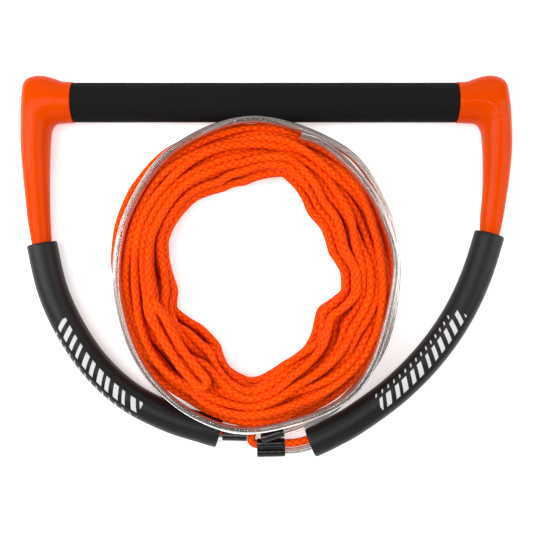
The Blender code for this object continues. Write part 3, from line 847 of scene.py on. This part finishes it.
def sleeve_material():
    """Heat-shrunk sleeve: black, a little glossy, with fine wrinkles round it."""
    paint = Paint("shrink sleeve")
    around, along = paint.along()
    wrinkles = paint.noise(paint.scaled(around, along, 7.0, 700.0), 1.0, 3.0)
    where = paint.place()
    dust = paint.noise(where, 700.0, 3.0)
    colour = paint.ramp(dust, [(0.3, (0.002, 0.002, 0.0022)), (0.8, (0.005, 0.005, 0.0055))])
    rough = paint.mix(dust, 0.16, 0.26)
    normal = paint.bump(wrinkles, 0.00010, 0.30)
    return paint.finish(Base_Color=colour, Roughness=rough, Normal=normal, Specular_IOR_Level=0.4)


def metal_material(name, dark, light, stretch):
    """Drawn or stamped metal with fine lines."""
    paint = Paint(name)
    parts = paint.add("SeparateXYZ", {0: paint.place()})
    stretched = paint.vector(
        paint.calc("MULTIPLY", parts.outputs[0], stretch),
        paint.calc("MULTIPLY", parts.outputs[1], 2200.0),
        paint.calc("MULTIPLY", parts.outputs[2], 2200.0),
    )
    lines = paint.noise(stretched, 1.0, 3.0)
    colour = paint.ramp(lines, [(0.3, dark), (0.7, light)])
    rough = paint.mix(lines, 0.26, 0.42)
    normal = paint.bump(lines, 0.00003, 0.5)
    return paint.finish(Base_Color=colour, Roughness=rough, Metallic=1.0, Normal=normal)


# ---------------------------------------------------------------- pieces

def refined_cap(side_name, route, mouth):
    """Rows of the cap's shell: out of its socket, over the lip, round the corner and along the spigot."""
    sign = SIDES[side_name]
    ribs = []
    for inner_u, inner_y, outer_u, outer_y, z, half_height in CAP_RIBS:
        inner_u -= bow(side_name, inner_y)
        outer_u -= bow(side_name, outer_y)
        ribs.append((inner_u, inner_y, outer_u, outer_y, z, half_height))
    ribs[0] = (LIP_X[side_name], ribs[0][1], LIP_X[side_name], *ribs[0][3:])
    tip = at_lengths(route, [mouth - 0.001, mouth])
    _, side, _ = level_frame(tip)
    outward = side[-1] * -sign
    inner = tip[-1] - outward * LEG_TIP_R
    outer = tip[-1] + outward * LEG_TIP_R
    ribs.append((sign * inner[0], inner[1], sign * outer[0], outer[1], tip[-1][2], LEG_TIP_R))
    columns = np.hstack([smooth_route([rib[k:k + 3] for rib in ribs], 16) for k in (0, 3)])
    angles = angles_round(CAP_SIDES)
    cosine, sine = np.cos(angles)[:, None], np.sin(angles)[:, None]
    rows = []
    lip = sign * LIP_X[side_name]
    bore = BAR_R + GAP
    socket = ((0.0190, bore), (0.0005, bore), (0.0001, BAR_R + 0.0006), (0.0, BAR_R + 0.0010), (0.0, 0.0149))
    for x, radius in socket:
        centre = np.array([lip + sign * x, BAR_Y, BAR_Z])
        rows.append(centre + radius * (cosine * np.array([0, 1.0, 0]) + sine * np.array([0, 0, 1.0])))
    for k, (inner_u, inner_y, outer_u, outer_y, z, half_height) in enumerate(columns):
        inner = np.array([sign * inner_u, inner_y, z])
        outer = np.array([sign * outer_u, outer_y, z])
        shrink = 1.0 if k else 0.985
        tall = np.array([0, 0, half_height])
        row = (inner + outer) / 2 + shrink * ((outer - inner) / 2 * cosine + tall * sine)
        row[:, 2] = np.maximum(row[:, 2], 0.0)
        rows.append(row)
        if k == 0:
            rows.append(rows[-1] + (rows[-1] - (inner + outer) / 2) * 0.013 + np.array([sign * 0.0004, 0, 0]))
    spigot = at_lengths(route, mouth + np.linspace(0.0006, SPIGOT_LENGTH, 14))
    _, side, up = level_frame(spigot)
    for centre, out, rise, share in zip(spigot, side * -sign, up, np.linspace(0, 1, 14)):
        radius = SPIGOT_R * (1.0 - 0.05 * max(0.0, share - 0.9) * 10)
        rows.append(centre + radius * (cosine * out + sine * rise))
    rows.append(spigot[-1] + (ROPE_R + 0.0005) * (cosine * side[-1] * -sign + sine * up[-1]))
    return np.array(rows)


def make_cap(side_name, material, route, mouth):
    """The moulded elbow cap."""
    grid = refined_cap(side_name, route, mouth)
    v = lengths_along(grid[:, 0])
    mesh = grid_mesh("cap_shell_" + side_name, grid, shares_round(CAP_SIDES), v)
    mesh.set_sharp_from_angle(angle=HARD_EDGE)
    piece = add_piece("cap_shell_" + side_name, mesh, material, "handle", "end_cap_" + side_name)


def make_grip(material):
    """The foam grip over the bar."""
    left, right = -LIP_X["left"] + GAP, LIP_X["right"] - GAP
    edge = 0.0009
    inner = [(right, GRIP_R - edge), (right, BAR_R + 0.0003), (left, BAR_R + 0.0003), (left, GRIP_R - edge)]
    turns = np.linspace(0.0, math.pi / 2, 5)
    rim = [(left + edge * (1 - math.cos(a)), GRIP_R - edge + edge * math.sin(a)) for a in turns]
    body = [(x, GRIP_R) for x in np.linspace(left + 0.004, right - 0.004, 110)]
    far = [(right - edge * (1 - math.cos(a)), GRIP_R - edge + edge * math.sin(a)) for a in turns[::-1]]
    profile = np.array(rim + body + far + inner[1:3])
    sides = 72
    angles = angles_round(sides)
    sway = 0.0035 * np.sin(profile[:, 0] * 61.0)[:, None]
    uneven = 1.0 + sway * np.cos(angles * 2.0 + profile[:, :1] * 40.0)
    radius = profile[:, 1:2] * uneven
    x = np.broadcast_to(profile[:, 0:1], radius.shape)
    grid = np.stack([x, BAR_Y + radius * np.cos(angles), BAR_Z + radius * np.sin(angles)], axis=2)
    v = np.concatenate([lengths_along(grid[:, 0]), [0.5]])
    mesh = grid_mesh("grip_sleeve", grid, shares_round(sides), v, ring=True)
    mesh.set_sharp_from_angle(angle=HARD_EDGE)
    piece = add_piece("grip_sleeve", mesh, material, "handle", "grip_foam")


def make_float(side_name, material, route, start, end):
    """The foam float: a bent tube with soft rims."""
    total = end - start
    edge = FLOAT_EDGE
    turns = np.linspace(0.0, math.pi / 2, 7)
    near = [(edge * (1 - math.cos(a)), FLOAT_R - edge + edge * math.sin(a)) for a in turns]
    middle = [(s, FLOAT_R) for s in np.linspace(0.004, total - 0.004, 100)]
    far = [(total - s, r) for s, r in near[::-1]]
    inside = [(s, FLOAT_BORE_R) for s in np.linspace(total, 0.0, 60)]
    profile = np.array(near + middle + far + inside)
    stations = np.linspace(0.0, total, 200)
    points = at_lengths(route, start + stations)
    _, side, up = level_frame(points)
    centre, side, up = (read_rows(profile[:, 0], stations, values) for values in (points, side, up))
    side, up = unit(side), unit(up)
    grid = tube_grid(centre, side, up, profile[:, 1], profile[:, 1], FLOAT_SIDES)
    v = np.concatenate([profile[:, 0], [0.0]])
    v[len(profile) - len(inside):] = -0.05
    mesh = grid_mesh("foam_float_" + side_name, grid, shares_round(FLOAT_SIDES), v, ring=True)
    mesh.set_sharp_from_angle(angle=HARD_EDGE)
    piece = add_piece("foam_float_" + side_name, mesh, material, side_name + "_float", "float_" + side_name)


def make_hollow_tube(name, points, material, node, sides=20):
    """A clear tube with its bore."""
    side, up = carried_frame(points)
    outside = tube_grid(points, side, up, TUBE_R, TUBE_R, sides)
    inside = tube_grid(points, side, up, TUBE_BORE_R, TUBE_BORE_R, sides)[::-1]
    along = lengths_along(points)
    v = np.concatenate([along, along[::-1], [0.0]])
    mesh = grid_mesh(name, np.concatenate([outside, inside]), shares_round(sides), v, ring=True)
    mesh.set_sharp_from_angle(angle=HARD_EDGE)
    piece = add_piece(name, mesh, material, "handle", node)
    return piece


def make_bridle(side_name, rope, clear, route, mouth, sleeve_start):
    """The bridle rope of one side and the clear tube beside it."""
    spigot_end = mouth + SPIGOT_LENGTH
    length = SLEEVE_LENGTH[side_name]
    wanted = np.linspace(0.0, sleeve_start + length / 2 - GAP / 2, 170)
    share = np.clip((wanted - spigot_end - 0.002) / 0.030, 0.0, 1.0)
    points = pair_offset(side_name, route, wanted, eased(share))
    points = np.vstack([points[0] + np.array([0.0, 0.0021, 0.0]), points])
    name = "bridle_cord_" + side_name
    piece = add_piece(name, rope_mesh(name, points, ROPE_R, 20), rope, "handle", "bridle_rope_" + side_name)
    wanted = np.linspace(spigot_end + 0.034, sleeve_start + length - 0.003, 90)
    middle = pair_offset(side_name, route, wanted, [-1.0] * len(wanted))
    make_hollow_tube("clear_stiffener_" + side_name, middle, clear, "stiffener_tube_" + side_name)


def make_sleeve(side_name, material, route, start):
    """The shrunk sleeve round the rope and the clear tube."""
    length = SLEEVE_LENGTH[side_name]
    stations = np.array([0.0022, 0.0001, 0.0, 0.0003, 0.0010, 0.0030])
    scale = np.array([0.84, 0.90, 0.95, 0.99, 1.0, 1.0])
    middle = np.linspace(0.0045, length - 0.0045, 14)
    steps = np.concatenate([stations, middle, length - stations[::-1]])
    far_scale = scale[::-1] * np.array([1, 1, 1, 0.99, 0.97, 0.95])
    scales = np.concatenate([scale, 1.0 + 0.012 * np.sin(middle * 1900.0), far_scale])
    ends = at_lengths(route, [start, start + length])
    axis = unit(ends[1] - ends[0])
    side = unit(np.cross(axis, [0.0, 0.0, 1.0]))
    up = np.cross(side, axis)
    towards_rope = rope_direction(side_name, side, up)
    across = np.cross(axis, towards_rope)
    sides = 64
    angles = angles_round(sides)
    half = PAIR_SPACING / 2
    reaches = []
    for centre, radius in ((half, ROPE_R + 0.0009), (-half, TUBE_R + 0.0009)):
        reaches.append(centre * np.cos(angles) + np.sqrt(radius**2 - (centre * np.sin(angles)) ** 2))
    reach = (reaches[0] ** 5 + reaches[1] ** 5) ** 0.2
    outline = (reach * np.cos(angles))[:, None] * towards_rope + (reach * np.sin(angles))[:, None] * across
    grid = ends[0] + steps[:, None, None] * axis + scales[:, None, None] * outline
    mesh = grid_mesh("shrink_" + side_name, grid, shares_round(sides), np.maximum.accumulate(steps))
    mesh.set_sharp_from_angle(angle=SLEEVE_EDGE)
    piece = add_piece("shrink_" + side_name, mesh, material, "handle", "bridle_sleeve_" + side_name)


def joined_mesh(name, meshes):
    """Several meshes as one."""
    shape = bmesh.new()
    for mesh in meshes:
        shape.from_mesh(mesh)
        bpy.data.meshes.remove(mesh)
    whole = bpy.data.meshes.new(name)
    shape.to_mesh(whole)
    shape.free()
    whole.shade_smooth()
    return whole


def make_splice(material, rope_ends):
    """Both bridle ropes bending together into one thicker throat."""
    meshes = []
    for side_name, points in SPLICE_LIMBS.items():
        inside, outside = rope_ends[side_name]
        straight = outside + (outside - inside) * 0.12
        bend = resample(smooth_route([outside, straight] + points), 0.0010)
        route = np.vstack([inside, (inside + outside) / 2, bend])
        meshes.append(rope_mesh("limb", route, ROPE_R, 20))
    throat = resample(smooth_route(THROAT_ROUTE), 0.0006)
    share = np.linspace(0.0, 1.0, len(throat))
    swell = 0.0033 + 0.0013 * np.sin(math.pi * np.clip(share * 1.1, 0, 1)) ** 0.8
    side, up = carried_frame(throat)
    grid = tube_grid(throat, side, up, swell, swell, 24)
    meshes.append(grid_mesh("throat", grid, shares_round(24), lengths_along(throat)))
    whole = joined_mesh("spliced_throat", meshes)
    piece = add_piece("spliced_throat", whole, material, "handle", "splice_loop")


def make_mainline(rope, spliced, ring):
    """The whole mainline, wound in its coil, with the spliced loop on its far end."""
    route = mainline_route(ring)
    mesh = rope_mesh("mainline", route, ROPE_R, MAINLINE_SIDES)
    piece = add_piece("mainline", mesh, rope, "handle", "mainline_coil")
    middle = resample(smooth_route(LOOP_ROUTE), 0.0012)
    tangent, side, _ = level_frame(middle)
    along = lengths_along(middle)
    width = LOOP_HALF_WIDTH * np.clip(along / 0.016, 0.0, 1.0) ** 0.7
    one = middle + side * width[:, None]
    other = middle - side * width[:, None]
    turns = np.linspace(0.0, math.pi, 15)[1:-1]
    ways = [side[-1] * math.cos(a) + tangent[-1] * math.sin(a) for a in turns]
    fold = [middle[-1] + LOOP_HALF_WIDTH * way for way in ways]
    loop_route = resample(np.vstack([one, fold, other[::-1]]), 0.0010)
    loop_mesh = rope_mesh("spliced_loop", loop_route, 0.0033, 24)
    loop = add_piece("spliced_loop", loop_mesh, spliced, "handle", "boat_end_loop")


def make_ring_tube(clear, sleeve, route):
    """The clear tube round the coil and the sleeve that closes its end."""
    total = lengths_along(route)[-1]
    points = at_lengths(route, np.linspace(0.0, total - RING_SLEEVE_LENGTH + 0.003, 430))
    tube = make_hollow_tube("clear_hoop", points, clear, "coil_ring_tube", 24)
    start = total - RING_SLEEVE_LENGTH
    far_steps = [0.0164, 0.0174, 0.0179, RING_SLEEVE_LENGTH]
    steps = np.concatenate([[0.002, 0.0, 0.0002, 0.0010], np.linspace(0.003, 0.0150, 9), far_steps])
    radii = np.array([0.0031, 0.0033, 0.0037] + [RING_SLEEVE_R] * 10 + [0.0039, 0.0034, 0.0024, 0.0010])
    radii[4:13] += 0.00008 * np.sin(np.arange(9) * 2.3)
    stations = np.linspace(0.0, RING_SLEEVE_LENGTH, 60)
    middle = at_lengths(route, start + stations)
    side, up = carried_frame(middle)
    middle, side, up = (read_rows(steps, stations, values) for values in (middle, side, up))
    grid = tube_grid(middle, unit(side), unit(up), radii, radii, 32)
    mesh = grid_mesh("hoop_end", grid, shares_round(32), np.maximum.accumulate(steps))
    mesh.set_sharp_from_angle(angle=SLEEVE_EDGE)
    end = add_piece("hoop_end", mesh, sleeve, "handle", "ring_sleeve")


def repaint(node_name, material):
    """A CAD node keeps its shape and gets a finished material."""
    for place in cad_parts[node_name].material_slots:
        place.material = material


# ---------------------------------------------------------------- stage

def add_light(name, place, aim, width, height, watts):
    """A soft rectangular white light."""
    data = bpy.data.lights.new(name, "AREA")
    data.shape = "RECTANGLE"
    data.size = width
    data.size_y = height
    data.energy = watts
    light = bpy.data.objects.new(name, data)
    light.location = place
    light.rotation_euler = (Vector(aim) - Vector(place)).to_track_quat("-Z", "Y").to_euler()
    bpy.context.scene.collection.objects.link(light)


def make_stage():
    """Camera, floor, light and white surroundings."""
    scene = bpy.context.scene
    data = bpy.data.cameras.new("camera")
    data.lens = CAMERA_LENS
    data.sensor_width = 36.0
    data.clip_start = 0.01
    camera = bpy.data.objects.new("camera", data)
    camera.location = (0.0, 0.0, CAMERA_HEIGHT)
    scene.collection.objects.link(camera)
    scene.camera = camera
    scene.view_settings.view_transform = "Standard"
    world = bpy.data.worlds.new("surroundings")
    world.use_nodes = True
    world.node_tree.nodes["Background"].inputs[0].default_value = (1.0, 1.0, 1.0, 1.0)
    world.node_tree.nodes["Background"].inputs[1].default_value = WORLD_LIGHT
    scene.world = world
    half = FLOOR_SIZE / 2
    mesh = bpy.data.meshes.new("floor")
    corners = [(-half, -half, 0), (half, -half, 0), (half, half, 0), (-half, half, 0)]
    mesh.from_pydata(corners, [], [(0, 1, 2, 3)])
    floor = bpy.data.objects.new("floor", mesh)
    floor.location.z = -0.0002
    scene.collection.objects.link(floor)
    paint = Paint("floor")
    grain = paint.noise(paint.place(), 40.0, 2.0)
    colour = paint.ramp(grain, [(0.3, (0.90, 0.90, 0.90)), (0.7, (0.91, 0.91, 0.91))])
    surface = paint.finish(
        Base_Color=colour,
        Roughness=0.9,
        Specular_IOR_Level=0.0,
        Emission_Color=FLOOR_GLOW,
        Emission_Strength=FLOOR_GLOW_STRENGTH,
    )
    mesh.materials.append(surface)
    for light in LIGHTS:
        add_light(*light)


def rope_knot_material():
    """Rope yarns bulging round a pulled knot."""
    paint = Paint("knotted rope")
    where = paint.place()
    wave = {"Vector": where, "Scale": 260.0, "Distortion": 3.0, "Detail": 2.0}
    yarns = paint.add("TexWave", wave).outputs[1]
    colour = paint.ramp(yarns, [(0.1, (0.42, 0.012, 0.0)), (0.8, (0.95, 0.10, 0.002))])
    return paint.finish(Base_Color=colour, Roughness=0.62, Normal=paint.bump(yarns, 0.0005, 0.8))


PRINTS = {
    "left": slanted_bars(0.062, 0.092, 0.170, 0.298, 0.078, 0.118, 0.045),
    "right": slanted_bars(0.066, 0.096, 0.186, 0.306, 0.122, 0.156, -0.045),
}


def main():
    """Everything, camera and cords first."""
    make_stage()
    ring_route = smooth_route(
        [tuple(on_coil(angle, outward, z)) for angle, outward, z in RING_ROUTE] + [RING_SLEEVE_END]
    )
    rope = braid_material("braided rope", 5.0, 0.0058)
    spliced = braid_material("spliced braid", 5.0, 0.0070)
    clear = clear_material()
    sleeve = sleeve_material()
    cap = cap_material()
    make_mainline(rope, spliced, resample(ring_route, 0.0025))
    make_ring_tube(clear, sleeve, ring_route)
    rope_ends = {}
    for side_name in SIDES:
        route = bridle_route(side_name)
        mouth = length_to(route, FLOAT_ROUTE[side_name][0])
        float_end = length_to(route, FLOAT_ROUTE[side_name][-1])
        sleeve_length = SLEEVE_LENGTH[side_name]
        sleeve_start = lengths_along(route)[-1] - sleeve_length
        make_bridle(side_name, rope, clear, route, mouth, sleeve_start)
        make_cap(side_name, cap, route, mouth)
        name = "float foam " + side_name
        foam = foam_material(name, FLOAT_DARK, FLOAT_LIGHT, 0.34, 1.28, PRINTS[side_name])
        make_float(side_name, foam, route, mouth, float_end)
        make_sleeve(side_name, sleeve, route, sleeve_start)
        meets = sleeve_start + sleeve_length / 2 + GAP / 2
        both = [meets, sleeve_start + sleeve_length]
        rope_ends[side_name] = pair_offset(side_name, route, both, [1.0, 1.0])
        repaint("stopper_knot_" + side_name, rope_knot_material())
        steel = metal_material("steel washer", (0.42, 0.42, 0.43), (0.62, 0.62, 0.63), 900.0)
        repaint("rope_washer_" + side_name, steel)
        plug = foam_material("plug foam", PLUG_DARK, PLUG_LIGHT, 0.8, 1.25)
        repaint("bar_plug_" + side_name, plug)
    make_splice(rope, rope_ends)
    make_grip(foam_material("grip foam", GRIP_DARK, GRIP_LIGHT, 0.80, 1.18))
    repaint("bar_tube", metal_material("drawn aluminium", (0.50, 0.51, 0.53), (0.70, 0.71, 0.73), 30.0))


main()
